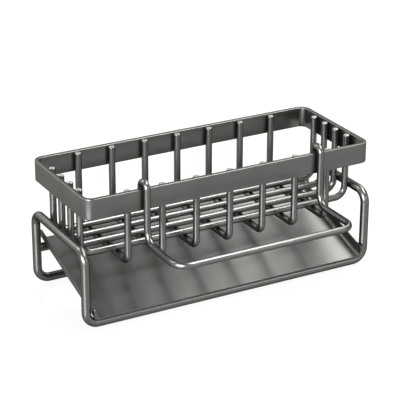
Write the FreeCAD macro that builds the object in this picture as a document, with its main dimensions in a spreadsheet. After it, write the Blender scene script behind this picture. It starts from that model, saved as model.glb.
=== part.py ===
import FreeCAD, Part
import math
import os

import Sketcher

# Kitchen sink caddy: a bent rod stand carries a wire basket, a sloping drip tray and a cloth rail.
# Millimetres, +Z up, +Y to the back; the origin is on the counter, under the middle of the stand.

CROSS_WIRES = 7
LONG_WIRES = 4

DIMENSIONS = {
    # round stock
    "rod_dia": 6.5,
    "wire_dia": 5.0,
    "tip_round": 0.9,
    # stand: leg centres along and across, overall height, bend radius on the centre line, crossbar's place
    "stand_length": 230.0,
    "stand_depth": 83.0,
    "stand_height": 60.0,
    "stand_bend": 9.0,
    "bar_below_wires": 14.75,
    # basket wires: space from the end posts and from the legs, bend radii on the centre line, ends of the posts
    "cross_end_space": 28.25,
    "cross_bend": 6.0,
    "long_side_space": 19.3,
    "long_bend": 8.5,
    "post_seat": 0.25,
    "post_inset": 0.7,
    # band: overall depth, height above the stand, strip height and thickness, corner and edge radii, end room
    "band_depth": 90.4,
    "band_above_stand": 22.3,
    "band_height": 15.5,
    "band_thickness": 3.2,
    "band_corner": 8.0,
    "band_edge": 0.6,
    "band_end_gap": 0.35,
    # drip tray: sheet, rims, overhang past the front rail, folded hook at the back, running clearances
    "tray_sheet": 1.0,
    "tray_clearance": 0.3,
    "tray_side_gap": 0.75,
    "tray_floor_margin": 4.7,
    "tray_front": 1.8,
    "tray_fold": 4.5,
    "rim_height": 9.0,
    "rim_front_round": 1.5,
    "rim_back_round": 1.5,
    "hook_inset": 5.5,
    "hook_play": 1.5,
    "hook_fold": 0.5,
    "hook_lip": 5.0,
    # cloth rail: place of its arms beside the last posts, hooks, drop and reach of its bar, bend radii
    "arm_inset": 10.8,
    "hook_clearance": 0.3,
    "hook_leg": 12.0,
    "bar_drop": 39.5,
    "bar_reach": 45.5,
    "arm_bend": 11.0,
    "rail_corner": 10.0,
}

# Sizes that follow from the driving dimensions, as expressions over the sheet
ROD = "dims.rod_dia / 2"
WIRE = "dims.wire_dia / 2"
LEG_X = "dims.stand_length / 2"
LEG_Y = "dims.stand_depth / 2"
RAIL_Z = f"(dims.stand_height - {ROD})"
END_POST_X = f"({LEG_X} - {ROD} - {WIRE})"
CROSS_PITCH = f"(2 * ({END_POST_X} - dims.cross_end_space) / {CROSS_WIRES - 1})"
LONG_PITCH = f"(2 * ({LEG_Y} - dims.long_side_space) / {LONG_WIRES - 1})"
SIDE_POST_Y = f"(dims.band_depth / 2 - dims.band_thickness - {WIRE})"
LONG_Z = f"({RAIL_Z} - dims.post_seat - dims.long_bend)"
CROSS_Z = f"({LONG_Z} - dims.wire_dia)"
BAR_HEIGHT = f"({CROSS_Z} - dims.bar_below_wires)"
BAND_FOOT = "(dims.stand_height + dims.band_above_stand)"
BAND_TOP = f"({BAND_FOOT} + dims.band_height)"
POST_TOP = f"({BAND_TOP} - dims.post_inset)"
TIP_ROUND = f"min(dims.tip_round; 0.9 * {WIRE})"
BAND_LENGTH = f"2 * ({END_POST_X} + {WIRE} + dims.band_end_gap + dims.band_thickness)"

# Tray sizes: the slope runs over the front rail and the crossbar, which have the same diameter
TRAY_RISE = f"({BAR_HEIGHT} - {ROD})"
TRAY_RUN = f"sqrt(dims.stand_depth ^ 2 + {TRAY_RISE} ^ 2)"
TRAY_SEAT = f"({ROD} + dims.tray_clearance)"
TRAY_HALF = f"({LEG_X} - dims.stand_bend + dims.tray_floor_margin)"
RIM_HALF = f"({LEG_X} - {ROD} - dims.tray_side_gap)"
HOOK_OUT = "(dims.hook_fold + dims.tray_sheet)"
HOOK_START = f"({TRAY_RUN} + {ROD} + dims.hook_play - dims.hook_fold)"
HOOK_HALF = f"({TRAY_HALF} - dims.hook_inset)"
TRAY_END = f"({HOOK_START} + {HOOK_OUT})"

# Cloth rail sizes: the hooks straddle the front of the band with a clearance on each face
HOOK_BEND = f"(dims.band_thickness / 2 + dims.hook_clearance + {WIRE})"
HOOK_Y = "(dims.band_thickness / 2 - dims.band_depth / 2)"
ARM_X = f"({END_POST_X} - dims.cross_end_space - dims.arm_inset)"
ARM_Y = f"({HOOK_Y} - {HOOK_BEND})"
BAR_Y = f"({ARM_Y} - dims.bar_reach)"
BAR_Z = f"({BAND_TOP} - dims.bar_drop)"

X = FreeCAD.Vector(1, 0, 0)
Y = FreeCAD.Vector(0, 1, 0)
Z = FreeCAD.Vector(0, 0, 1)

doc = FreeCAD.newDocument("sink_caddy")


def make_sheet():
    """The driving dimensions, one aliased cell each."""
    sheet = doc.addObject("Spreadsheet::Sheet", "dims")
    for row, (alias, value) in enumerate(DIMENSIONS.items(), start=1):
        sheet.set(f"A{row}", str(value))
        sheet.setAlias(f"A{row}", alias)
    doc.recompute()


def bind(obj, **expressions):
    """Ties properties of an object to expressions over the sheet."""
    for prop, expression in expressions.items():
        obj.setExpression(prop, expression)


def place(obj, x="0", y="0", z="0", rotation=None):
    """Turns an object and ties its position to the sheet."""
    if rotation is not None:
        obj.Placement.Rotation = rotation
    for axis, expression in zip("xyz", (x, y, z)):
        obj.setExpression(f"Placement.Base.{axis}", expression)


def straight(radius, length, start, along):
    """A straight run of round stock from a start point along a direction."""
    run = doc.addObject("Part::Cylinder", "run")
    bind(run, Radius=radius, Height=length)
    place(run, *start, rotation=FreeCAD.Rotation(Z, along))
    return run


def bend(radius, centre_line, centre, first, towards, angle=90):
    """A bend of round stock about a centre, from one direction as seen from it towards another."""
    turn = doc.addObject("Part::Torus", "bend")
    bind(turn, Radius1=centre_line, Radius2=radius)
    turn.Angle3 = angle
    place(turn, *centre, rotation=FreeCAD.Rotation(first, towards, first.cross(towards), "XYZ"))
    return turn


def join(label, pieces):
    """One bent rod or wire from its runs and bends."""
    rod = doc.addObject("Part::MultiFuse", label)
    rod.Shapes = pieces
    rod.Label = label
    return rod


def minus(expression):
    """The same size with the other sign."""
    return f"-({expression})"


def signed(side, expression):
    """A size on the left (-1) or right (1)."""
    return expression if side > 0 else minus(expression)


def make_stand():
    """The closed loop of rod: two bottom rails, four legs and two top side rails."""
    pieces = []
    leg_length = f"{RAIL_Z} - {ROD} - 2 * dims.stand_bend"
    low_centre = f"{ROD} + dims.stand_bend"
    high_centre = f"{RAIL_Z} - dims.stand_bend"
    inner_x = f"({LEG_X} - dims.stand_bend)"
    inner_y = f"({LEG_Y} - dims.stand_bend)"
    for depth in (-1, 1):
        leg_y = signed(depth, LEG_Y)
        pieces.append(straight(ROD, f"2 * {inner_x}", (minus(inner_x), leg_y, ROD), X))
        for side in (-1, 1):
            leg_x = signed(side, LEG_X)
            centre_x = signed(side, inner_x)
            centre_y = signed(depth, inner_y)
            pieces.append(bend(ROD, "dims.stand_bend", (centre_x, leg_y, low_centre), -Z, X * side))
            pieces.append(straight(ROD, leg_length, (leg_x, leg_y, low_centre), Z))
            pieces.append(bend(ROD, "dims.stand_bend", (leg_x, centre_y, high_centre), Y * depth, Z))
    for side in (-1, 1):
        pieces.append(straight(ROD, f"2 * {inner_y}", (signed(side, LEG_X), minus(inner_y), RAIL_Z), Y))
    return join("stand_frame", pieces)


def make_support_bar():
    """The crossbar for the tray, coped at both ends to seat on the back legs."""
    bar = straight(ROD, "dims.stand_length", (minus(LEG_X), LEG_Y, BAR_HEIGHT), X)
    legs = [straight(ROD, "dims.stand_height", (signed(side, LEG_X), LEG_Y, "0"), Z) for side in (-1, 1)]
    coped = doc.addObject("Part::Cut", "tray_support_bar")
    coped.Base = bar
    coped.Tool = join("cope_tool", legs)
    coped.Label = "tray_support_bar"
    return coped


def make_body(label):
    """An empty body with its name."""
    body = doc.addObject("PartDesign::Body", label)
    body.Label = label
    return body


def sketch_on(body, role, offset=None):
    """A sketch on one of the body's own origin planes, at a bound height above it."""
    plane = next(item for item in body.Origin.OriginFeatures if item.Role == role)
    sketch = body.newObject("Sketcher::SketchObject", f"{body.Name}_sketch")
    sketch.AttachmentSupport = [(plane, "")]
    sketch.MapMode = "FlatFace"
    if offset is not None:
        sketch.setExpression("AttachmentOffset.Base.z", offset)
    return sketch


def size(sketch, kind, *where, value, expression):
    """A driving dimension of a sketch, started near its size and tied to the sheet."""
    index = sketch.addConstraint(Sketcher.Constraint(kind, *where, value))
    sketch.setExpression(f"Constraints[{index}]", expression)


def line(x0, y0, x1, y1):
    """A sketch line between two points."""
    return Part.LineSegment(FreeCAD.Vector(x0, y0, 0), FreeCAD.Vector(x1, y1, 0))


def arc(x, y, radius, start, end):
    """A sketch arc about a centre, between two angles in quarter turns."""
    circle = Part.Circle(FreeCAD.Vector(x, y, 0), Z, radius)
    return Part.ArcOfCircle(circle, start * math.pi / 2, end * math.pi / 2)


def wire_path(body, role, half, low, corner):
    """The U-shaped centre line: post, bend, floor run, bend, post. Rough sizes are set by the dimensions."""
    path = sketch_on(body, role)
    path.addGeometry([
        line(-100, 90, -100, 50),
        arc(-90, 50, 10, 2, 3),
        line(-90, 40, 90, 40),
        arc(90, 50, 10, 3, 4),
        line(100, 50, 100, 90),
    ])
    for first in range(4):
        path.addConstraint(Sketcher.Constraint("Tangent", first, 2, first + 1, 1))
    path.addConstraint(Sketcher.Constraint("Horizontal", 2))
    path.addConstraint(Sketcher.Constraint("Equal", 1, 3))
    path.addConstraint(Sketcher.Constraint("Symmetric", 0, 1, 4, 2, -2))
    path.addConstraint(Sketcher.Constraint("Vertical", 0))
    path.addConstraint(Sketcher.Constraint("Vertical", 4))
    size(path, "DistanceX", -1, 1, 4, 2, value=100, expression=half)
    size(path, "DistanceY", -1, 1, 4, 2, value=90, expression=POST_TOP)
    size(path, "DistanceY", -1, 1, 2, 1, value=40, expression=low)
    size(path, "Radius", 1, value=10, expression=corner)
    return path


def wire_section(body, half, across):
    """The round section of the wire at the top of its first post."""
    section = sketch_on(body, "XY_Plane", offset=POST_TOP)
    start = (-100, 0) if across else (0, -100)
    section.addGeometry(Part.Circle(FreeCAD.Vector(*start, 0), Z, 2))
    if across:
        section.addConstraint(Sketcher.Constraint("PointOnObject", 0, 3, -1))
        size(section, "DistanceX", 0, 3, -1, 1, value=100, expression=half)
    else:
        section.addConstraint(Sketcher.Constraint("PointOnObject", 0, 3, -2))
        size(section, "DistanceY", 0, 3, -1, 1, value=100, expression=half)
    size(section, "Radius", 0, value=2, expression=WIRE)
    return section


def edges_where(shape, test):
    """Names of the edges of a shape that pass a test."""
    return [f"Edge{i}" for i, edge in enumerate(shape.Edges, start=1) if test(edge)]


def dress(body, kind, edges, prop, expression):
    """A fillet on named edges of the body's last feature."""
    base = body.Tip
    feature = body.newObject(kind, f"{body.Name}_{prop}")
    feature.Base = (base, edges)
    feature.setExpression(prop, expression)
    doc.recompute()
    return feature


def make_wire(label, across, half, low, corner):
    """One U-shaped basket wire with rounded tips, across the basket (left to right) or front to back."""
    body = make_body(label)
    path = wire_path(body, "XZ_Plane" if across else "YZ_Plane", half, low, corner)
    section = wire_section(body, half, across)
    doc.recompute()
    pipe = body.newObject("PartDesign::AdditivePipe", f"{label}_pipe")
    pipe.Profile = section
    pipe.Spine = (path, [f"Edge{i}" for i in range(1, 6)])
    doc.recompute()
    top = pipe.Shape.BoundBox.ZMax
    tips = edges_where(pipe.Shape, lambda edge: edge.BoundBox.ZMin > top - 0.01)
    dress(body, "PartDesign::Fillet", tips, "Radius", TIP_ROUND)
    return body


def make_cross_wires():
    """The front-to-back wires, evenly spaced along the basket, under the long wires."""
    middle = (CROSS_WIRES - 1) / 2
    wires = []
    for i in range(CROSS_WIRES):
        body = make_wire(f"cross_wire_{i + 1}", False, SIDE_POST_Y, CROSS_Z, "dims.cross_bend")
        place(body, x=f"{CROSS_PITCH} * {i - middle}")
        wires.append(body)
    return wires


def make_long_wires():
    """The left-to-right wires, evenly spaced across the basket, with end posts inside the side rails."""
    middle = (LONG_WIRES - 1) / 2
    wires = []
    for i in range(LONG_WIRES):
        body = make_wire(f"long_wire_{i + 1}", True, END_POST_X, LONG_Z, "dims.long_bend")
        place(body, y=f"{LONG_PITCH} * {i - middle}")
        wires.append(body)
    return wires


def rectangle(sketch, half_x, half_y):
    """A rectangle about the sketch's origin."""
    corners = [(-100, -40), (100, -40), (100, 40), (-100, 40)]
    sides = [line(*corners[i], *corners[(i + 1) % 4]) for i in range(4)]
    sketch.addGeometry(sides)
    for i in range(4):
        sketch.addConstraint(Sketcher.Constraint("Coincident", i, 2, (i + 1) % 4, 1))
        sketch.addConstraint(Sketcher.Constraint("Vertical" if i % 2 else "Horizontal", i))
    sketch.addConstraint(Sketcher.Constraint("Symmetric", 0, 1, 2, 1, -1, 1))
    size(sketch, "DistanceX", -1, 1, 2, 1, value=100, expression=half_x)
    size(sketch, "DistanceY", -1, 1, 2, 1, value=40, expression=half_y)


def hollow(body, faces, wall):
    """Shells the body inwards to a wall, leaving the named faces open."""
    base = body.Tip
    shell = body.newObject("PartDesign::Thickness", f"{body.Name}_wall")
    shell.Base = (base, faces)
    shell.Reversed = True
    shell.Join = "Intersection"
    shell.setExpression("Value", wall)
    doc.recompute()
    return shell


def faces_where(shape, test):
    """Names of the faces of a shape that pass a test."""
    return [f"Face{i}" for i, face in enumerate(shape.Faces, start=1) if test(face)]


def make_band():
    """The strip round the top of the basket, bent to a rounded rectangle."""
    body = make_body("basket_band")
    outline = sketch_on(body, "XY_Plane", offset=BAND_FOOT)
    rectangle(outline, f"{BAND_LENGTH} / 2", "dims.band_depth / 2")
    doc.recompute()
    block = body.newObject("PartDesign::Pad", "basket_band_block")
    block.Profile = outline
    bind(block, Length="dims.band_height")
    doc.recompute()
    uprights = edges_where(block.Shape, lambda edge: abs(edge.tangentAt(edge.FirstParameter).z) > 0.9)
    dress(body, "PartDesign::Fillet", uprights, "Radius", "dims.band_corner")
    level = faces_where(body.Shape, lambda face: abs(face.normalAt(0, 0).z) > 0.9)
    hollow(body, level, "dims.band_thickness")
    rims = edges_where(body.Shape, lambda edge: edge.BoundBox.ZLength < 0.01)
    dress(body, "PartDesign::Fillet", rims, "Radius", "dims.band_edge")
    return body


def tray_section(body):
    """The tray's outer section across the slope: a flat floor and two sides that flare a little."""
    section = sketch_on(body, "XZ_Plane", offset="dims.tray_front")
    corners = [(-100, 0), (100, 0), (105, 10), (-105, 10)]
    section.addGeometry([line(*corners[i], *corners[(i + 1) % 4]) for i in range(4)])
    for i in range(4):
        section.addConstraint(Sketcher.Constraint("Coincident", i, 2, (i + 1) % 4, 1))
    section.addConstraint(Sketcher.Constraint("PointOnObject", 0, 1, -1))
    section.addConstraint(Sketcher.Constraint("Symmetric", 0, 1, 0, 2, -2))
    section.addConstraint(Sketcher.Constraint("Symmetric", 2, 1, 2, 2, -2))
    size(section, "DistanceX", -1, 1, 0, 2, value=100, expression=TRAY_HALF)
    size(section, "DistanceX", -1, 1, 2, 1, value=105, expression=RIM_HALF)
    size(section, "DistanceY", -1, 1, 2, 1, value=10, expression="dims.rim_height")
    return section


def round_rims(body, radius, reach, at_back):
    """Rounds off the top corner of both rims at the front or the back, seen from the side."""
    side = 1 if at_back else -1
    corner = sketch_on(body, "YZ_Plane")
    corner.addGeometry([
        arc(side * 50, 5, 5, 0, 1) if at_back else arc(side * 50, 5, 5, 1, 2),
        line(side * 55, 5, side * 55, 10),
        line(side * 55, 10, side * 50, 10),
    ])
    low, high = (1, 2) if at_back else (2, 1)
    for where in ((0, low, 1, 1), (1, 2, 2, 1), (2, 2, 0, high)):
        corner.addConstraint(Sketcher.Constraint("Coincident", *where))
    corner.addConstraint(Sketcher.Constraint("Vertical", 1))
    corner.addConstraint(Sketcher.Constraint("Horizontal", 2))
    corner.addConstraint(Sketcher.Constraint("Horizontal", 0, low, 0, 3))
    corner.addConstraint(Sketcher.Constraint("Vertical", 0, high, 0, 3))
    ends = (-1, 1, 1, 2) if at_back else (1, 2, -1, 1)
    size(corner, "DistanceX", *ends, value=55, expression=reach)
    size(corner, "DistanceY", -1, 1, 1, 2, value=10, expression="dims.rim_height")
    size(corner, "Radius", 0, value=5, expression=f"min(dims.{radius}; dims.rim_height - dims.tray_sheet)")
    return cut_through(body, corner)


def cut_through(body, sketch):
    """Cuts a sketch's outline through the body both ways, and stops if it met nothing."""
    before = body.Shape.Volume
    doc.recompute()
    pocket = body.newObject("PartDesign::Pocket", f"{sketch.Name}_cut")
    pocket.Profile = sketch
    pocket.Type = "ThroughAll"
    pocket.SideType = "Symmetric"
    doc.recompute()
    if not body.Shape.Volume < before:
        raise RuntimeError(f"{pocket.Name} cut nothing")
    return pocket


def cut_hook_place(body):
    """Clears the back of the floor, between the rims, for the hook's fold."""
    notch = sketch_on(body, "XY_Plane")
    corners = [(-100, 90), (100, 90), (100, 99), (-100, 99)]
    notch.addGeometry([line(*corners[i], *corners[(i + 1) % 4]) for i in range(4)])
    for i in range(4):
        notch.addConstraint(Sketcher.Constraint("Coincident", i, 2, (i + 1) % 4, 1))
    notch.addConstraint(Sketcher.Constraint("Symmetric", 0, 1, 0, 2, -2))
    notch.addConstraint(Sketcher.Constraint("Vertical", 1))
    notch.addConstraint(Sketcher.Constraint("Horizontal", 2))
    notch.addConstraint(Sketcher.Constraint("Vertical", 3))
    size(notch, "DistanceX", -1, 1, 0, 2, value=100, expression=HOOK_HALF)
    size(notch, "DistanceY", -1, 1, 0, 2, value=90, expression=HOOK_START)
    size(notch, "DistanceY", 1, 1, 1, 2, value=9, expression=f"2 * {HOOK_OUT}")
    return cut_through(body, notch)


def add_hook(body):
    """The back edge folded a quarter turn behind the crossbar, with a lip down from the fold."""
    fold = sketch_on(body, "YZ_Plane")
    fold.addGeometry([
        line(80, 0, 80, 1),
        arc(80, -4, 5, 0, 1),
        line(85, -4, 85, -8),
        line(85, -8, 84, -8),
        line(84, -8, 84, -4),
        arc(80, -4, 4, 0, 1),
    ])
    ends = [(0, 2, 1, 2), (1, 1, 2, 1), (2, 2, 3, 1), (3, 2, 4, 1), (4, 2, 5, 1), (5, 2, 0, 1)]
    for a, a_end, b, b_end in ends:
        fold.addConstraint(Sketcher.Constraint("Coincident", a, a_end, b, b_end))
    fold.addConstraint(Sketcher.Constraint("Coincident", 1, 3, 5, 3))
    for upright in (0, 2, 4):
        fold.addConstraint(Sketcher.Constraint("Vertical", upright))
    fold.addConstraint(Sketcher.Constraint("Horizontal", 3))
    fold.addConstraint(Sketcher.Constraint("Vertical", 0, 1, 1, 3))
    fold.addConstraint(Sketcher.Constraint("Horizontal", 1, 1, 1, 3))
    fold.addConstraint(Sketcher.Constraint("Horizontal", 5, 1, 5, 3))
    size(fold, "DistanceX", -1, 1, 1, 3, value=80, expression=HOOK_START)
    size(fold, "DistanceY", 1, 3, -1, 1, value=4, expression="dims.hook_fold")
    size(fold, "Radius", 1, value=5, expression=HOOK_OUT)
    size(fold, "Radius", 5, value=4, expression="dims.hook_fold")
    size(fold, "DistanceY", 2, 2, 2, 1, value=4, expression="dims.hook_lip")
    doc.recompute()
    hook = body.newObject("PartDesign::Pad", "drip_tray_hook")
    hook.Profile = fold
    hook.SideType = "Symmetric"
    bind(hook, Length=f"2 * {HOOK_HALF}")
    doc.recompute()
    return hook


def make_tray():
    """The sheet tray: side rims with rounded ends, a plain front edge and a folded hook at the back."""
    body = make_body("drip_tray")
    section = tray_section(body)
    doc.recompute()
    block = body.newObject("PartDesign::Pad", "drip_tray_block")
    block.Profile = section
    block.Reversed = True
    bind(block, Length=f"dims.tray_front + {TRAY_END}")
    doc.recompute()
    low_edges = edges_where(
        block.Shape,
        lambda edge: edge.BoundBox.ZMax < 0.01 and abs(edge.tangentAt(edge.FirstParameter).y) > 0.9,
    )
    dress(body, "PartDesign::Fillet", low_edges, "Radius", "dims.tray_fold")
    top = body.Shape.BoundBox.ZMax
    open_faces = faces_where(
        body.Shape,
        lambda face: face.BoundBox.ZMin > top - 0.01 or face.BoundBox.YLength < 0.01,
    )
    hollow(body, open_faces, "dims.tray_sheet")
    round_rims(body, "rim_front_round", "dims.tray_front", at_back=False)
    round_rims(body, "rim_back_round", TRAY_END, at_back=True)
    cut_hook_place(body)
    add_hook(body)
    slope = f"atan({TRAY_RISE} / dims.stand_depth)"
    place(
        body,
        y=f"-({LEG_Y}) - {TRAY_SEAT} * sin({slope})",
        z=f"{ROD} + {TRAY_SEAT} * cos({slope})",
        rotation=FreeCAD.Rotation(X, 15),
    )
    body.setExpression("Placement.Rotation.Angle", slope)
    return body


def make_cloth_rail():
    """One bent wire: two hooks over the band, arms down its front and a bar held out ahead of it."""
    pieces = []
    bar_half = f"({ARM_X} - dims.rail_corner)"
    arm_foot = f"({BAR_Z} + dims.arm_bend)"
    arm_front = f"({ARM_Y} - dims.arm_bend)"
    corner_y = f"({BAR_Y} + dims.rail_corner)"
    for side in (-1, 1):
        x = signed(side, ARM_X)
        inner_y = f"{HOOK_Y} + {HOOK_BEND}"
        pieces.append(straight(WIRE, "dims.hook_leg", (x, inner_y, f"{BAND_TOP} - dims.hook_leg"), Z))
        pieces.append(bend(WIRE, HOOK_BEND, (x, HOOK_Y, BAND_TOP), Y, Z, angle=180))
        pieces.append(straight(WIRE, f"{BAND_TOP} - {arm_foot}", (x, ARM_Y, arm_foot), Z))
        pieces.append(bend(WIRE, "dims.arm_bend", (x, arm_front, arm_foot), Y, -Z))
        pieces.append(straight(WIRE, f"{arm_front} - {corner_y}", (x, corner_y, BAR_Z), Y))
        pieces.append(bend(WIRE, "dims.rail_corner", (signed(side, bar_half), corner_y, BAR_Z), X * side, -Y))
    pieces.append(straight(WIRE, f"2 * {bar_half}", (minus(bar_half), BAR_Y, BAR_Z), X))
    return join("cloth_rail", pieces)


def check(parts):
    """Stops if a feature failed or a piece is not one valid solid."""
    for obj in doc.Objects:
        if {"Invalid", "Error"} & set(obj.State):
            raise RuntimeError(f"{obj.Name} failed: {obj.State}")
    for part in parts:
        shape = part.Shape
        if shape.isNull() or not shape.isValid() or len(shape.Solids) != 1:
            raise RuntimeError(f"{part.Label} is not one valid solid")


make_sheet()
parts = [make_stand(), make_support_bar(), make_band()]
parts += make_cross_wires()
parts += make_long_wires()
parts += [make_tray(), make_cloth_rail()]
doc.recompute()
check(parts)

os.makedirs("parts", exist_ok=True)
for part in parts:
    part.Shape.exportStep(f"parts/{part.Label}.step")
    print(part.Label, round(part.Shape.Volume, 1))
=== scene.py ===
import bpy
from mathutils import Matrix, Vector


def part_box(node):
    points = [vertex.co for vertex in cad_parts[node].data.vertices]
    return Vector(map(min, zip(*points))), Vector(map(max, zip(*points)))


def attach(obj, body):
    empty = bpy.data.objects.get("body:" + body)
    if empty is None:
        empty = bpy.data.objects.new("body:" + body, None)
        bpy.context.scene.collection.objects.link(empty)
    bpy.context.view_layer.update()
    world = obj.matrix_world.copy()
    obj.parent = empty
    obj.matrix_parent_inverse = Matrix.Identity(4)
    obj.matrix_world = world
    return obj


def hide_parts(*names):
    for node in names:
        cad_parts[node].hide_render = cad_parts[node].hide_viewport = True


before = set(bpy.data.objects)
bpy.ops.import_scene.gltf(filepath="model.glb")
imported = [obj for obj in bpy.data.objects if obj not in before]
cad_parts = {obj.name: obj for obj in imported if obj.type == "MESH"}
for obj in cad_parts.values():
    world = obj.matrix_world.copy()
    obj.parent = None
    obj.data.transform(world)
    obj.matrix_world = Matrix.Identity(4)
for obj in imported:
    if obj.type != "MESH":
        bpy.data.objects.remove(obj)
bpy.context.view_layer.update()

import math

import bmesh
import bpy
import numpy as np
from bpy.props import FloatProperty, FloatVectorProperty, IntProperty, PointerProperty
from mathutils import Matrix, Vector

bl_info = {
    "name": "Kitchen Sink Caddy",
    "version": (1, 0, 0),
    "blender": (4, 5, 0),
    "location": "View3D > Sidebar > Sink Caddy",
    "description": "Dresses a sink caddy of bent rod, wire, strip and sheet steel, "
                   "and lights it on a studio floor",
    "category": "Add Mesh",
}

MM = 0.001
CROSS_WIRES = sorted(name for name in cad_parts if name.startswith("cross_wire_"))
LONG_WIRES = sorted(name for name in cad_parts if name.startswith("long_wire_"))

# Points closer than the first are one point. Points of the tray closer than the second to the end
# of its lip belong to both sides of that end.
ONE_POINT = 0.001 * MM
LIP_END = 0.01 * MM

# A slanting direction that no straight run of rod or wire follows.
SLANT = (0.61, 0.53, 0.59)

# Plating: size and depth of its slow shading, then the gloss, relief and height of its fine lines.
CLOUD_SIZE = 28 * MM
CLOUD_DEPTH = 0.07
LINE_GLOSS = 0.02
LINE_RELIEF = 0.03
LINE_HEIGHT = 0.01 * MM
# Noise stays between these values for the most part.
NOISE_LOW, NOISE_HIGH = 0.3, 0.7

# Studio: the middle of the caddy, the floor's gap below the rods, its sides and its index of
# refraction, the heights between which the dome turns grey, and the camera's film and reach.
CADDY_MIDDLE = (0, 0, 50 * MM)
FLOOR_GAP = 0.05 * MM
FLOOR_SIDES = 96
ACRYLIC_IOR = 1.49
DOME_FOOT, DOME_CROWN = 0.3, 0.8
FILM_WIDTH = 36
NEAREST, FARTHEST = 0.05, 20

# Softboxes, in metres: place, the direction that the height lies along, width and height.
SOFTBOXES = {
    "key": ((-0.70, -0.49, 0.36), (0, 0, 1), 0.5, 0.25),
    "top": ((0.31, -0.20, 0.84), (0, 1, 0), 0.28, 0.5),
    "side": ((0.66, 0.33, 0.74), (0, 1, -0.46), 0.5, 0.58),
    "front": ((0.40, -0.72, 0.37), (0, 0, 1), 0.35, 0.2),
    "left": ((-0.42, 0.42, 0.70), (0, 0, 1), 0.4, 0.4),
    "back": ((-0.24, 0.83, 0.50), (0, 0, 1), 0.95, 0.9),
}


def box_of(node):
    """Lowest and highest corner of a CAD node as arrays, in metres."""
    low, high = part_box(node)
    return np.array(low), np.array(high)


def spread(node):
    """Length, depth and height of a CAD node, in metres."""
    low, high = box_of(node)
    return high - low


def linear(hex_colour):
    """An sRGB hex colour as linear red, green and blue."""
    srgb = [int(hex_colour[i:i + 2], 16) / 255 for i in (1, 3, 5)]
    return tuple(c / 12.92 if c <= 0.04045 else ((c + 0.055) / 1.055) ** 2.4 for c in srgb)


def length(name, description, default):
    """A property for a size in metres."""
    return FloatProperty(
        name=name, description=description, default=float(default), unit="LENGTH", precision=5)


def hue(name, description, hex_colour):
    """A property for a colour, written as sRGB hex."""
    return FloatVectorProperty(
        name=name, description=description, default=linear(hex_colour), subtype="COLOR")


def number(name, description, default, subtype="NONE"):
    """A property for a share, a brightness or an angle."""
    return FloatProperty(name=name, description=description, default=default, subtype=subtype)


class CaddySizes(bpy.types.PropertyGroup):
    """Sizes of the steel stock and of its bends."""

    rod_diameter: length("Rod", "Diameter of the stand's rod", spread("tray_support_bar")[2])
    wire_diameter: length(
        "Wire", "Diameter of the basket's and rail's wire", spread(CROSS_WIRES[0])[0])
    stand_bend: length("Stand bend", "Bend radius of the stand on its centre line", 9 * MM)
    cross_bend: length("Cross wire bend", "Bend radius of the front-to-back wires", 6 * MM)
    long_bend: length("Long wire bend", "Bend radius of the left-to-right wires", 8.5 * MM)
    tip_dome: length("Post tip", "Height of the dome on the end of a wire", 0.9 * MM)
    band_thickness: length("Band thickness", "Thickness of the strip round the basket", 3.2 * MM)
    band_corner: length("Band corner", "Outer corner radius of the strip", 8 * MM)
    band_edge: length("Band edge", "Rounding of the strip's long edges", 0.6 * MM)
    arm_bend: length("Arm bend", "Bend radius where the rail's arms turn forward", 11 * MM)
    rail_corner: length("Rail corner", "Bend radius at the ends of the rail's bar", 10 * MM)
    hook_leg: length("Hook leg", "Length of the rail's hooks inside the band", 12 * MM)
    tray_sheet: length("Tray sheet", "Thickness of the tray's sheet", 1.0 * MM)
    tray_clearance: length(
        "Tray clearance", "Gap between the tray and the rods it lies on", 0.3 * MM)
    tray_side_gap: length("Tray side gap", "Gap between the tray's rims and the legs", 0.75 * MM)
    tray_floor_margin: length(
        "Tray floor margin", "How far the floor runs past the start of the bends", 4.7 * MM)
    tray_front: length(
        "Tray front", "How far the tray runs past the front rail's axis", 1.8 * MM)
    tray_fold: length("Tray fold", "Outer radius of the fold between floor and rim", 4.5 * MM)
    tray_edge: length("Tray edge", "Rounding of the sheet's cut edges", 0.25 * MM)
    rim_height: length("Rim height", "Height of the tray's side rims", 9 * MM)
    rim_front_round: length("Rim front", "Corner radius of the rims at the front", 1.5 * MM)
    rim_back_round: length("Rim back", "Corner radius of the rims at the back", 1.5 * MM)
    lip_inset: length("Lip inset", "Plain floor beside the folded back edge", 5.5 * MM)
    lip_play: length(
        "Lip play", "How far the folded back edge stands behind the crossbar", 1.5 * MM)
    lip_fold: length("Lip fold", "Inner radius of the folded back edge", 0.5 * MM)
    lip_depth: length("Lip depth", "Straight lip below the folded back edge", 5 * MM)
    sides: IntProperty(name="Sides", description="Facets round a rod or wire", default=32, min=8)
    arc_steps: IntProperty(name="Arc steps", description="Steps along a bend", default=14, min=4)


class CaddyFinish(bpy.types.PropertyGroup):
    """Colours and gloss of the plated steel."""

    rod_colour: hue("Rod colour", "Tone of the plating on rod and wire", "#5E5D5B")
    strip_colour: hue("Strip colour", "Tone of the plating on the strip", "#5D5C5A")
    sheet_colour: hue("Sheet colour", "Tone of the plating on the tray", "#605F5D")
    # Painted highlight: a pale tone given to the domed wire tips so that they read bright.
    tip_highlight_colour: hue("Tip highlight colour", "Tone of the painted highlight on the wire tips", "#C6C5C2")
    rod_edge: hue("Rod edge", "Dulling of rod and wire seen at a low angle", "#8A8986")
    flat_edge: hue("Flat edge", "Dulling of strip and sheet seen at a low angle", "#BEBDBB")
    rod_roughness: number("Rod roughness", "Roughness of drawn rod and wire", 0.31, "FACTOR")
    strip_roughness: number("Strip roughness", "Roughness of rolled strip", 0.31, "FACTOR")
    sheet_roughness: number("Sheet roughness", "Roughness of pressed sheet", 0.34, "FACTOR")


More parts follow.
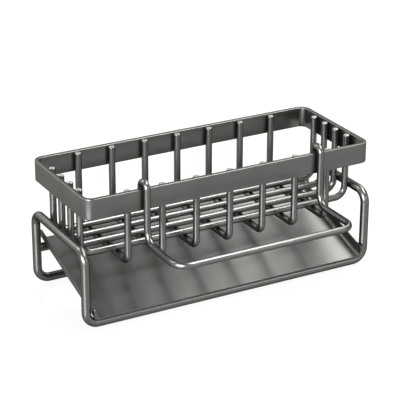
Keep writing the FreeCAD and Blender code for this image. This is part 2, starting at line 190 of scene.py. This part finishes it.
class CaddyStage(bpy.types.PropertyGroup):
    """Camera, floor and lamps."""

    azimuth: number(
        "Azimuth", "Turn of the camera round the caddy", math.radians(-28.985), "ANGLE")
    elevation: number("Elevation", "Height angle of the camera", math.radians(23.149), "ANGLE")
    roll: number("Roll", "Tilt of the camera about its own axis", math.radians(0.174), "ANGLE")
    distance: length("Distance", "From the camera to its target", 1217.81 * MM)
    target: FloatVectorProperty(
        name="Target", description="Point in the middle of the picture", subtype="TRANSLATION",
        default=(-2.137 * MM, 0.303 * MM, 58.668 * MM))
    lens: number("Lens", "Focal length in millimetres", 149.89)
    floor_radius: length("Floor", "Radius of the studio floor", 12.0)
    floor_colour: hue("Floor colour", "Tone of the acrylic floor", "#303030")
    floor_roughness: number("Floor roughness", "Roughness of the floor", 0.17, "FACTOR")
    floor_glow: number("Floor glow", "White added to the floor as the camera sees it", 0.9)
    floor_shade: length(
        "Floor shade", "How far the caddy shades the floor that its own steel mirrors", 30 * MM)
    sky: number("Sky", "Brightness of the dome overhead, where its foot is 1", 0.4)
    key: number("Key", "Brightness of the softbox at the front left", 60.0)
    top: number("Top", "Brightness of the softbox overhead", 23.0)
    side: number("Side", "Brightness of the softbox at the right", 7.5)
    front: number("Front", "Brightness of the softbox at the front right", 5.0)
    left: number("Left", "Brightness of the softbox at the back left", 7.0)
    back: number("Back", "Brightness of the large softbox at the back", 1.8)


def settings():
    """The three groups of settings."""
    scene = bpy.context.scene
    return scene.caddy_sizes, scene.caddy_finish, scene.caddy_stage


# Surfaces

def unit(vectors):
    """Vectors scaled to length 1."""
    return vectors / np.linalg.norm(vectors, axis=-1, keepdims=True)


def bent_path(corners, radii, steps, closed=False):
    """Centre line of bent stock through corner points, with its tangents.

    At each corner the line leaves the straight run a length of radius x tan(turn / 2) early and
    follows centre + radius x (-inward x cos(a) + ahead x sin(a)) while the angle a grows from 0 to
    the turn.
    """
    corners = np.asarray(corners, float)
    inner = corners if closed else corners[1:-1]
    before = np.roll(corners, 1, axis=0) if closed else corners[:-2]
    after = np.roll(corners, -1, axis=0) if closed else corners[2:]
    radius = np.broadcast_to(np.asarray(radii, float), (len(inner),))[:, None]
    ahead = unit(inner - before)
    onward = unit(after - inner)
    dot = np.sum(ahead * onward, axis=1, keepdims=True)
    turn = np.arccos(np.clip(dot, -1, 1))
    inward = unit(onward - dot * ahead)
    start = inner - ahead * radius * np.tan(turn / 2)
    centre = start + inward * radius
    angle = (turn * np.linspace(0, 1, steps + 1))[:, :, None]
    sweep = -inward[:, None] * np.cos(angle) + ahead[:, None] * np.sin(angle)
    points = (centre[:, None] + radius[:, None] * sweep).reshape(-1, 3)
    tangents = inward[:, None] * np.sin(angle) + ahead[:, None] * np.cos(angle)
    tangents = tangents.reshape(-1, 3)
    if closed:
        return points, tangents
    ends = unit(np.array([corners[1] - corners[0], corners[-1] - corners[-2]]))
    points = np.vstack((corners[:1], points, corners[-1:]))
    return points, np.vstack((ends[:1], tangents, ends[1:]))


def domed_ends(points, tangents, radius, dome, steps=7, highlight_rings=2):
    """A path drawn in by a dome at both ends, with the bar's radius and the painted tip highlight
    mark along it.

    Along the dome an angle a grows from 0 to a quarter turn: the path runs on by dome x sin(a) and
    the radius shrinks to radius - dome x (1 - cos(a)). The mark is 1 on the last rings of each tip
    and 0 along the bar: it is a painted highlight, a pale tone that makes the tips read bright.
    """
    angle = np.linspace(0, math.pi / 2, steps + 1)[1:, None]
    head = points[:1] + tangents[:1] * dome
    tail = points[-1:] - tangents[-1:] * dome
    cap_in = head - tangents[:1] * dome * np.sin(angle[::-1])
    cap_out = tail + tangents[-1:] * dome * np.sin(angle)
    shrink = radius - dome * (1 - np.cos(angle[:, 0]))
    path = np.vstack((cap_in, head, points[1:-1], tail, cap_out))
    first = np.repeat(tangents[:1], steps, axis=0)
    last = np.repeat(tangents[-1:], steps, axis=0)
    along = np.vstack((first, tangents, last))
    radii = np.concatenate((shrink[::-1], np.full(len(points), radius), shrink))
    # Painted highlight: the tips' last rings are marked for the pale tip tone.
    tip_highlight = np.zeros(len(path))
    tip_highlight[:highlight_rings] = 1
    tip_highlight[-highlight_rings:] = 1
    return path, along, radii, tip_highlight


def grid_faces(rows, columns, wrap_rows=False, wrap_columns=False):
    """Quads of a grid of points, with the row and column of each corner before wrapping."""
    i = np.arange(rows if wrap_rows else rows - 1)
    j = np.arange(columns if wrap_columns else columns - 1)
    i, j = (index.ravel() for index in np.meshgrid(i, j, indexing="ij"))
    row = np.stack((i, i, i + 1, i + 1), axis=1)
    column = np.stack((j, j + 1, j + 1, j), axis=1)
    return row % rows * columns + column % columns, row, column


def run_lengths(points, closed=False):
    """Length along a line of points, from 0 at the first."""
    line = np.vstack((points, points[:1])) if closed else points
    steps = np.linalg.norm(np.diff(line, axis=0), axis=1)
    return np.concatenate(([0.0], np.cumsum(steps)))


def round_bar(points, tangents, radii, tip_highlight, sides, closed=False):
    """A round bar along a path, whose ring has the angle b once round.

    A point is path + radius x (across x cos(b) + beside x sin(b)). Across is square to the path and
    lies nearest to a fixed slanting direction, beside is square to both.
    """
    slant = unit(np.array(SLANT))
    across = unit(slant - np.sum(slant * tangents, axis=1, keepdims=True) * tangents)
    beside = np.cross(tangents, across)
    angle = np.linspace(0, 2 * math.pi, sides, endpoint=False)[None, :, None]
    ring = across[:, None] * np.cos(angle) + beside[:, None] * np.sin(angle)
    radii = np.broadcast_to(radii, (len(points),))
    marks = np.repeat(np.broadcast_to(tip_highlight, (len(points),)), sides)
    surface = points[:, None] + radii[:, None, None] * ring
    faces, row, column = grid_faces(len(points), sides, wrap_rows=closed, wrap_columns=True)
    along = run_lengths(points, closed)
    uv = np.stack((along[row], column / sides * 2 * math.pi * radii.max()), axis=2)
    faces = faces.tolist()
    if not closed:
        last = (len(points) - 1) * sides
        faces += [list(range(sides))[::-1], list(range(last, last + sides))]
        caps = np.zeros((2 * sides, 2))
        caps[sides:, 0] = along[-1]
        return surface.reshape(-1, 3), faces, np.vstack((uv.reshape(-1, 2), caps)), marks
    return surface.reshape(-1, 3), faces, uv.reshape(-1, 2), marks


def make_piece(name, surface, material, body, nodes):
    """A smooth mesh piece with its own map and marks, in place of CAD nodes, on their body."""
    points, faces, uv, marks = surface
    mesh = bpy.data.meshes.new(name)
    mesh.from_pydata(points.tolist(), [], faces)
    stock = mesh.uv_layers.new(name="stock")
    stock.uv.foreach_set("vector", np.ascontiguousarray(uv, np.float32).ravel())
    # Mark of the painted tip highlight, 1 where the pale tip tone replaces the plating's tone.
    tip_highlight = mesh.attributes.new("tip_highlight", "FLOAT", "POINT")
    tip_highlight.data.foreach_set("value", np.asarray(marks, np.float32))
    mesh.polygons.foreach_set("use_smooth", np.ones(len(mesh.polygons), bool))
    mesh.materials.append(material)
    mesh.update()
    piece = bpy.data.objects.new(name, mesh)
    bpy.context.scene.collection.objects.link(piece)
    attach(piece, body)
    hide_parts(*nodes)
    return piece


# Materials

def add(tree, kind, inputs=None, **values):
    """A node with its values, and its inputs set to a number or linked to a socket."""
    node = tree.nodes.new(kind)
    for key, value in values.items():
        setattr(node, key, value)
    for key, value in (inputs or {}).items():
        if isinstance(value, bpy.types.NodeSocket):
            tree.links.new(value, node.inputs[key])
        else:
            node.inputs[key].default_value = value
    return node


def plated_steel(name, colour, edge, roughness, line_across, line_along):
    """Gunmetal plating over drawn or rolled steel: dark, satin, with faint lines along the stock.

    The lines are noise on the piece's own map, stretched to their width and length in millimetres.
    A slower noise shades the plating by a few percent over some centimetres, as a plating bath
    leaves it. Where a piece carries the tip highlight mark, the pale tone of a painted highlight
    replaces the plating's tone.
    """
    material = bpy.data.materials.get(name)
    if material:
        return material
    finish = settings()[1]
    material = bpy.data.materials.new(name)
    material.use_nodes = True
    tree = material.node_tree
    tree.nodes.clear()
    stock = add(tree, "ShaderNodeUVMap", uv_map="stock")
    place = add(tree, "ShaderNodeTexCoord")
    stretch = add(tree, "ShaderNodeMapping", {
        "Vector": stock.outputs["UV"],
        "Scale": (1 / (line_along * MM), 1 / (line_across * MM), 1)})
    lines = add(tree, "ShaderNodeTexNoise", {
        "Vector": stretch.outputs["Vector"], "Scale": 1.0, "Detail": 3.0})
    cloud = add(tree, "ShaderNodeTexNoise", {
        "Vector": place.outputs["Object"], "Scale": 1 / CLOUD_SIZE, "Detail": 2.0,
        "Roughness": 0.55})
    shade = add(tree, "ShaderNodeValToRGB", {"Fac": cloud.outputs["Fac"]})
    dark, light = shade.color_ramp.elements
    dark.position, light.position = NOISE_LOW, NOISE_HIGH
    dark.color = (*(c * (1 - CLOUD_DEPTH) for c in colour), 1)
    light.color = (*(min(1, c * (1 + CLOUD_DEPTH)) for c in colour), 1)
    # Painted highlight: the tip mark mixes the plating's tone towards the pale tip tone.
    tip_highlight = add(tree, "ShaderNodeAttribute", attribute_name="tip_highlight")
    tone = add(tree, "ShaderNodeMix", {
        "Factor": tip_highlight.outputs["Fac"],
        6: shade.outputs["Color"],
        7: (*finish.tip_highlight_colour, 1)}, data_type="RGBA")
    gloss = add(tree, "ShaderNodeMapRange", {
        "Value": lines.outputs["Fac"], "From Min": NOISE_LOW, "From Max": NOISE_HIGH,
        "To Min": roughness - LINE_GLOSS, "To Max": roughness + LINE_GLOSS})
    relief = add(tree, "ShaderNodeBump", {
        "Height": lines.outputs["Fac"], "Strength": LINE_RELIEF, "Distance": LINE_HEIGHT})
    steel = add(tree, "ShaderNodeBsdfPrincipled", {
        "Base Color": tone.outputs[2], "Roughness": gloss.outputs["Result"],
        "Normal": relief.outputs["Normal"], "Metallic": 1.0, "Specular Tint": (*edge, 1)})
    add(tree, "ShaderNodeOutputMaterial", {"Surface": steel.outputs["BSDF"]})
    return material


def rod_steel():
    """Drawn rod: die lines about 0.6 mm wide, drawn coarser than real ones so that they show."""
    finish = settings()[1]
    return plated_steel(
        "Gunmetal plated steel, drawn rod", finish.rod_colour, finish.rod_edge,
        finish.rod_roughness, line_across=0.6, line_along=40)


def wire_steel():
    """Drawn wire: as the rod, with finer die lines."""
    finish = settings()[1]
    return plated_steel(
        "Gunmetal plated steel, drawn wire", finish.rod_colour, finish.rod_edge,
        finish.rod_roughness, line_across=0.5, line_along=30)


def strip_steel():
    """Rolled strip: a satin face with long rolling lines."""
    finish = settings()[1]
    return plated_steel(
        "Gunmetal plated steel, rolled strip", finish.strip_colour, finish.flat_edge,
        finish.strip_roughness, line_across=0.5, line_along=60)


def sheet_steel():
    """Pressed sheet: a slightly duller flat face with long rolling lines from left to right."""
    finish = settings()[1]
    return plated_steel(
        "Gunmetal plated steel, pressed sheet", finish.sheet_colour, finish.flat_edge,
        finish.sheet_roughness, line_across=0.7, line_along=70)


# Pieces

class CADDY_OT_stand(bpy.types.Operator):
    """Bend the closed loop of rod that carries the basket"""

    bl_idname = "caddy.stand"
    bl_label = "Stand"

    def execute(self, context):
        sizes = settings()[0]
        rod = sizes.rod_diameter / 2
        _, (x, y, top) = box_of("stand_frame")
        x, y, top = x - rod, y - rod, top - rod
        corners = [
            (-x, -y, rod), (x, -y, rod), (x, -y, top), (x, y, top),
            (x, y, rod), (-x, y, rod), (-x, y, top), (-x, -y, top),
        ]
        path = bent_path(corners, sizes.stand_bend, sizes.arc_steps, closed=True)
        surface = round_bar(*path, rod, 0, sizes.sides, closed=True)
        make_piece("stand_rod", surface, rod_steel(), "rack", ["stand_frame"])
        return {"FINISHED"}


class CADDY_OT_crossbar(bpy.types.Operator):
    """Fit the crossbar between the back legs"""

    bl_idname = "caddy.crossbar"
    bl_label = "Crossbar"

    def execute(self, context):
        surface = coped_bar(settings()[0])
        make_piece("crossbar_rod", surface, rod_steel(), "rack", ["tray_support_bar"])
        return {"FINISHED"}


def coped_bar(sizes):
    """A straight rod whose ends fit round legs of the same diameter.

    Round the rod the angle b runs once: depth is radius x cos(b), height radius x sin(b), and each
    end stops at leg - radius x |sin(b)|, where the leg's surface is.
    """
    rod = sizes.rod_diameter / 2
    low, high = box_of("tray_support_bar")
    leg = box_of("stand_frame")[1][0] - rod
    middle = (low + high) / 2
    angle = np.linspace(0, 2 * math.pi, sizes.sides, endpoint=False)[None, :]
    share = np.array([-1.0, -0.5, 0.5, 1.0])[:, None]
    x = share * (leg - rod * np.abs(np.sin(angle)))
    y = middle[1] + rod * np.cos(angle) + 0 * share
    z = middle[2] + rod * np.sin(angle) + 0 * share
    points = np.stack((x, y, z), axis=2)
    faces, row, column = grid_faces(len(share), sizes.sides, wrap_columns=True)
    uv = np.stack((share[row, 0] * leg, column / sizes.sides * 2 * math.pi * rod), axis=2)
    return points.reshape(-1, 3), faces.tolist(), uv.reshape(-1, 2), np.zeros(points.size // 3)


class CADDY_OT_band(bpy.types.Operator):
    """Bend the strip round the top of the basket"""

    bl_idname = "caddy.band"
    bl_label = "Band"

    def execute(self, context):
        surface = strip_ring(settings()[0])
        make_piece("band_strip", surface, strip_steel(), "rack", ["basket_band"])
        return {"FINISHED"}


def strip_ring(sizes):
    """A strip bent to a rounded rectangle: each point of the path carries the strip's section.

    The section is a rectangle with rounded corners, laid out as outward x across + up x height, so
    a point is path + outward x across, at the section's height.
    """
    low, high = box_of("basket_band")
    half = sizes.band_thickness / 2
    x, y = high[0] - half, high[1] - half
    corners = [(-x, -y, 0), (x, -y, 0), (x, y, 0), (-x, y, 0)]
    path, tangents = bent_path(corners, sizes.band_corner - half, sizes.arc_steps, closed=True)
    outward = np.cross(tangents, (0, 0, 1))
    section = [(half, 0, low[2]), (half, 0, high[2]), (-half, 0, high[2]), (-half, 0, low[2])]
    profile, _ = bent_path(section, sizes.band_edge, steps=4, closed=True)
    points = path[:, None] + outward[:, None] * profile[None, :, :1]
    points[:, :, 2] = profile[None, :, 2]
    faces, row, column = grid_faces(len(path), len(profile), wrap_rows=True, wrap_columns=True)
    along = run_lengths(path, closed=True)
    around = run_lengths(profile, closed=True)
    uv = np.stack((along[row], around[column]), axis=2)
    return points.reshape(-1, 3), faces.tolist(), uv.reshape(-1, 2), np.zeros(points.size // 3)


def basket_wire(sizes, node, across, bend):
    """A U-shaped wire with domed tips: post, bend, floor run, bend, post, inside its node's box."""
    wire = sizes.wire_diameter / 2
    low, high = box_of(node)
    middle = (low + high) / 2
    direction = np.array([1.0, 0, 0]) if across else np.array([0, 1.0, 0])
    reach = ((high - low) @ direction / 2 - wire) * direction
    top, floor = (0, 0, high[2] - middle[2]), (0, 0, low[2] + wire - middle[2])
    corners = [
        middle - reach + top, middle - reach + floor, middle + reach + floor, middle + reach + top]
    path = bent_path(corners, bend, sizes.arc_steps)
    return round_bar(*domed_ends(*path, wire, sizes.tip_dome), sizes.sides)


class CADDY_OT_cross_wires(bpy.types.Operator):
    """Bend the basket's front-to-back wires"""

    bl_idname = "caddy.cross_wires"
    bl_label = "Cross Wires"

    def execute(self, context):
        sizes = settings()[0]
        for node in CROSS_WIRES:
            surface = basket_wire(sizes, node, False, sizes.cross_bend)
            make_piece(f"{node}_drawn", surface, wire_steel(), "rack", [node])
        return {"FINISHED"}


class CADDY_OT_long_wires(bpy.types.Operator):
    """Bend the basket's left-to-right wires"""

    bl_idname = "caddy.long_wires"
    bl_label = "Long Wires"

    def execute(self, context):
        sizes = settings()[0]
        for node in LONG_WIRES:
            surface = basket_wire(sizes, node, True, sizes.long_bend)
            make_piece(f"{node}_drawn", surface, wire_steel(), "rack", [node])
        return {"FINISHED"}


class CADDY_OT_tray(bpy.types.Operator):
    """Fold the drip tray and its back edge"""

    bl_idname = "caddy.tray"
    bl_label = "Drip Tray"

    def execute(self, context):
        sizes = settings()[0]
        surface = tray_skin(sizes)
        tray = make_piece("tray_sheet", surface, sheet_steel(), "tray", ["drip_tray"])
        merge_doubles(tray.data)
        wall = tray.modifiers.new("sheet", "SOLIDIFY")
        wall.thickness = sizes.tray_sheet
        wall.offset = 1
        wall.use_even_offset = True
        edge = tray.modifiers.new("cut edges", "BEVEL")
        edge.width = sizes.tray_edge
        edge.segments = 3
        # Only the sheet's cut edges turn by more than this.
        edge.limit_method = "ANGLE"
        edge.angle_limit = math.radians(50)
        edge.harden_normals = True
        return {"FINISHED"}


def merge_doubles(mesh):
    """Joins points of a mesh that lie on each other."""
    work = bmesh.new()
    work.from_mesh(mesh)
    bmesh.ops.remove_doubles(work, verts=work.verts, dist=ONE_POINT)
    work.to_mesh(mesh)
    work.free()


def tray_skin(sizes, rows=13, side_rows=4, lip_rows=7):
    """The tray's underside as one skin, worked out flat along the slope, then laid on the two rods.

    Across the tray: rim, fold of radius x angle, floor, fold, rim. Along it, the rims start at
    front + radius x (1 - cos(a)) where they are radius x sin(a) high above the quarter round's
    start, and end likewise at the back. The floor's back edge folds down a quarter turn behind the
    crossbar and ends in a lip.
    """
    rod = sizes.rod_diameter / 2
    _, (leg_x, leg_y, _) = box_of("stand_frame")
    leg_x, leg_y = leg_x - rod, leg_y - rod
    bar_z = sum(box_of("tray_support_bar"))[2] / 2
    slope = math.atan2(bar_z - rod, 2 * leg_y)
    run = math.hypot(bar_z - rod, 2 * leg_y)
    seat = rod + sizes.tray_clearance
    fold = sizes.lip_fold
    lip_start = run + rod + sizes.lip_play - fold
    end = lip_start + fold + sizes.tray_sheet
    floor_half = leg_x - sizes.stand_bend + sizes.tray_floor_margin
    rim_half = leg_x - rod - sizes.tray_side_gap
    lip_half = floor_half - sizes.lip_inset
    section = tray_section(sizes, floor_half, rim_half, lip_half)
    x, height = section[:, 0], section[:, 1]
    front = -sizes.tray_front + quarter_round(height, sizes.rim_height, sizes.rim_front_round)
    back = end - quarter_round(height, sizes.rim_height, sizes.rim_back_round)
    share = np.linspace(0, 1, rows)[:, None]
    patches = [(x + 0 * share, front + (lip_start - front) * share, height + 0 * share)]
    share = np.linspace(0, 1, side_rows)[:, None]
    for side in (-1, 1):
        edge = x * side >= lip_half - LIP_END
        patches.append((
            x[edge] + 0 * share,
            lip_start + (back[edge] - lip_start) * share,
            height[edge] + 0 * share))
    flat = np.abs(x) <= lip_half + LIP_END
    angle = np.linspace(0, math.pi / 2, lip_rows)
    lip_v = np.append(lip_start + fold * np.sin(angle), lip_start + fold)[:, None]
    lip_w = np.append(fold * np.cos(angle) - fold, -fold - sizes.lip_depth)[:, None]
    patches.append((x[flat] + 0 * lip_v, lip_v + 0 * x[flat], lip_w + 0 * x[flat]))
    points, faces, maps, count = [], [], [], 0
    for px, pv, pw in patches:
        quads, row, column = grid_faces(*px.shape)
        faces += (quads + count).tolist()
        count += px.size
        points.append(np.stack((px, pv, pw), axis=2).reshape(-1, 3))
        flat_map = np.stack((px + np.sign(px) * pw, pv - pw), axis=2)
        maps.append(flat_map[row, column].reshape(-1, 2))
    across, along, up = np.vstack(points).T
    y = -leg_y - seat * math.sin(slope) + along * math.cos(slope) - up * math.sin(slope)
    z = rod + seat * math.cos(slope) + along * math.sin(slope) + up * math.cos(slope)
    return np.stack((across, y, z), axis=1), faces, np.vstack(maps), np.zeros(count)


def quarter_round(height, top, radius):
    """How far a quarter-round corner stands back: radius - sqrt(radius^2 - rise^2) at a height."""
    rise = np.clip(height - (top - radius), 0, radius)
    return radius - np.sqrt(radius ** 2 - rise ** 2)


def tray_section(sizes, floor_half, rim_half, lip_half, columns=9, fold_steps=8, rim_rows=13):
    """Points across the tray's underside, from left rim to right: place across and height."""
    corners = [
        (-rim_half, 0, sizes.rim_height), (-floor_half, 0, 0),
        (floor_half, 0, 0), (rim_half, 0, sizes.rim_height)]
    path, _ = bent_path(corners, sizes.tray_fold, fold_steps)
    fold = path[fold_steps + 2:-1, ::2]
    angle = np.linspace(math.pi / 2, 0, rim_rows)
    rim_z = sizes.rim_height - sizes.rim_front_round * (1 - np.sin(angle))
    rim_x = floor_half + (rim_half - floor_half) * rim_z / sizes.rim_height
    right = np.vstack((
        np.stack((np.linspace(0, lip_half, columns), np.zeros(columns)), axis=1),
        fold,
        np.stack((rim_x, rim_z), axis=1)[::-1],
    ))
    return np.vstack((right[:0:-1] * (-1, 1), right))


class CADDY_OT_cloth_rail(bpy.types.Operator):
    """Bend the cloth rail that hooks over the band"""

    bl_idname = "caddy.cloth_rail"
    bl_label = "Cloth Rail"

    def execute(self, context):
        sizes = settings()[0]
        wire = sizes.wire_diameter / 2
        low, high = box_of("cloth_rail")
        band_low, band_high = box_of("basket_band")
        arm_x = high[0] - wire
        inner_y, bar_y = high[1] - wire, low[1] + wire
        arm_y = 2 * band_low[1] + sizes.band_thickness - inner_y
        crown, bar_z = high[2] - wire, low[2] + wire
        tip = band_high[2] - sizes.hook_leg
        left = [
            (-arm_x, inner_y, tip), (-arm_x, inner_y, crown), (-arm_x, arm_y, crown),
            (-arm_x, arm_y, bar_z), (-arm_x, bar_y, bar_z),
        ]
        corners = left + [(-px, py, pz) for px, py, pz in left[::-1]]
        hook = (inner_y - arm_y) / 2
        bends = [hook, hook, sizes.arm_bend, sizes.rail_corner]
        path = bent_path(corners, bends + bends[::-1], sizes.arc_steps)
        surface = round_bar(*domed_ends(*path, wire, sizes.tip_dome), sizes.sides)
        make_piece("cloth_rail_drawn", surface, wire_steel(), "rail", ["cloth_rail"])
        return {"FINISHED"}


# Stage

class CADDY_OT_stage(bpy.types.Operator):
    """Set the floor, the light and the camera"""

    bl_idname = "caddy.stage"
    bl_label = "Stage"

    def execute(self, context):
        stage = settings()[2]
        context.scene.view_settings.view_transform = "Standard"
        make_floor(stage)
        make_sky(stage)
        for name, (place, along, width, height) in SOFTBOXES.items():
            make_softbox(f"{name} softbox", place, along, width, height, getattr(stage, name))
        make_camera(stage)
        return {"FINISHED"}


def seen_directly(tree, open_share):
    """1 for rays from the camera, the open share for mirrored or refracted rays, and else 0."""
    path = add(tree, "ShaderNodeLightPath")
    mirror = add(tree, "ShaderNodeMath", {
        0: path.outputs["Is Glossy Ray"],
        1: path.outputs["Is Transmission Ray"]}, operation="MAXIMUM")
    shaded = add(tree, "ShaderNodeMath", {
        0: mirror.outputs["Value"], 1: open_share}, operation="MULTIPLY")
    seen = add(tree, "ShaderNodeMath", {
        0: path.outputs["Is Camera Ray"], 1: shaded.outputs["Value"]}, operation="MAXIMUM")
    return seen.outputs["Value"]


def make_floor(stage):
    """A round floor of white acrylic: radius x (cos(a), sin(a)) at the height of the counter.

    It is a satin cast sheet, white from within and faintly mirroring. Close to the caddy, where
    less light gets in, the steel sees it darker.
    """
    angle = np.linspace(0, 2 * math.pi, FLOOR_SIDES, endpoint=False)
    rim = np.stack((np.cos(angle), np.sin(angle), 0 * angle), axis=1) * stage.floor_radius
    rim[:, 2] = -FLOOR_GAP
    mesh = bpy.data.meshes.new("floor")
    mesh.from_pydata(rim.tolist(), [], [list(range(len(rim)))])
    material = bpy.data.materials.new("White acrylic, satin cast sheet")
    material.use_nodes = True
    tree = material.node_tree
    tree.nodes.clear()
    open_share = add(tree, "ShaderNodeAmbientOcclusion", {"Distance": stage.floor_shade})
    seen = seen_directly(tree, open_share.outputs["AO"])
    glow = add(tree, "ShaderNodeMath", {0: seen, 1: stage.floor_glow}, operation="MULTIPLY")
    acrylic = add(tree, "ShaderNodeBsdfPrincipled", {
        "Base Color": (*stage.floor_colour, 1), "Roughness": stage.floor_roughness,
        "IOR": ACRYLIC_IOR, "Emission Color": (1, 1, 1, 1),
        "Emission Strength": glow.outputs["Value"]})
    add(tree, "ShaderNodeOutputMaterial", {"Surface": acrylic.outputs["BSDF"]})
    mesh.materials.append(material)
    floor = bpy.data.objects.new("floor", mesh)
    bpy.context.scene.collection.objects.link(floor)


def make_sky(stage):
    """A dome that is white at its foot and greyer overhead, mixed by the height looked at."""
    world = bpy.data.worlds.new("studio")
    world.use_nodes = True
    tree = world.node_tree
    tree.nodes.clear()
    look = add(tree, "ShaderNodeTexCoord")
    height = add(tree, "ShaderNodeSeparateXYZ", {"Vector": look.outputs["Generated"]})
    level = add(tree, "ShaderNodeMapRange", {
        "Value": height.outputs["Z"], "From Min": DOME_FOOT, "From Max": DOME_CROWN,
        "To Min": 1.0, "To Max": stage.sky}, interpolation_type="SMOOTHSTEP")
    dome = add(tree, "ShaderNodeBackground", {
        "Color": (1, 1, 1, 1), "Strength": level.outputs["Result"]})
    add(tree, "ShaderNodeOutputWorld", {"Surface": dome.outputs["Background"]})
    bpy.context.scene.world = world


def make_softbox(name, place, along, width, height, brightness):
    """A softbox that faces the caddy, with its height along a direction.

    Its brightness is that of its face, where a sheet of white paper in full light is 1.
    """
    lamp = bpy.data.lights.new(name, "AREA")
    lamp.shape = "RECTANGLE"
    lamp.size = width
    lamp.size_y = height
    lamp.energy = brightness * math.pi * width * height
    softbox = bpy.data.objects.new(name, lamp)
    aim = (Vector(place) - Vector(CADDY_MIDDLE)).normalized()
    side = Vector(along).cross(aim).normalized()
    turn = Matrix((side, aim.cross(side), aim)).transposed().to_4x4()
    softbox.matrix_world = Matrix.Translation(place) @ turn
    softbox.visible_camera = False
    bpy.context.scene.collection.objects.link(softbox)


def make_camera(stage):
    """A camera on a sphere round its target, at an azimuth, elevation and roll."""
    a, e, r = stage.azimuth, stage.elevation, stage.roll
    back = Vector((math.sin(a) * math.cos(e), -math.cos(a) * math.cos(e), math.sin(e)))
    right = Vector((math.cos(a), math.sin(a), 0))
    up = back.cross(right)
    side = right * math.cos(r) + up * math.sin(r)
    over = up * math.cos(r) - right * math.sin(r)
    data = bpy.data.cameras.new("camera")
    data.lens = stage.lens
    data.sensor_width = FILM_WIDTH
    data.clip_start, data.clip_end = NEAREST, FARTHEST
    camera = bpy.data.objects.new("camera", data)
    turn = Matrix((side, over, back)).transposed().to_4x4()
    camera.matrix_world = Matrix.Translation(Vector(stage.target) + back * stage.distance) @ turn
    bpy.context.scene.collection.objects.link(camera)
    bpy.context.scene.camera = camera


# Registration

PIECES = (
    CADDY_OT_stand, CADDY_OT_crossbar, CADDY_OT_band, CADDY_OT_cross_wires, CADDY_OT_long_wires,
    CADDY_OT_tray, CADDY_OT_cloth_rail, CADDY_OT_stage,
)


class CADDY_PT_panel(bpy.types.Panel):
    """Lists the caddy's pieces and settings"""

    bl_idname = "CADDY_PT_panel"
    bl_label = "Sink Caddy"
    bl_space_type = "VIEW_3D"
    bl_region_type = "UI"
    bl_category = "Sink Caddy"

    def draw(self, context):
        column = self.layout.column(align=True)
        for operator in PIECES:
            column.operator(operator.bl_idname)
        for group in settings():
            box = self.layout.box()
            for key in group.__annotations__:
                box.prop(group, key)


CLASSES = (CaddySizes, CaddyFinish, CaddyStage, *PIECES, CADDY_PT_panel)


def register():
    for cls in CLASSES:
        bpy.utils.register_class(cls)
    bpy.types.Scene.caddy_sizes = PointerProperty(type=CaddySizes)
    bpy.types.Scene.caddy_finish = PointerProperty(type=CaddyFinish)
    bpy.types.Scene.caddy_stage = PointerProperty(type=CaddyStage)


def unregister():
    del bpy.types.Scene.caddy_stage
    del bpy.types.Scene.caddy_finish
    del bpy.types.Scene.caddy_sizes
    for cls in reversed(CLASSES):
        bpy.utils.unregister_class(cls)


def main():
    """Builds every piece and the stage."""
    register()
    bpy.ops.caddy.stand()
    bpy.ops.caddy.crossbar()
    bpy.ops.caddy.band()
    bpy.ops.caddy.cross_wires()
    bpy.ops.caddy.long_wires()
    bpy.ops.caddy.tray()
    bpy.ops.caddy.cloth_rail()
    bpy.ops.caddy.stage()


if __name__ == "__main__":
    main()
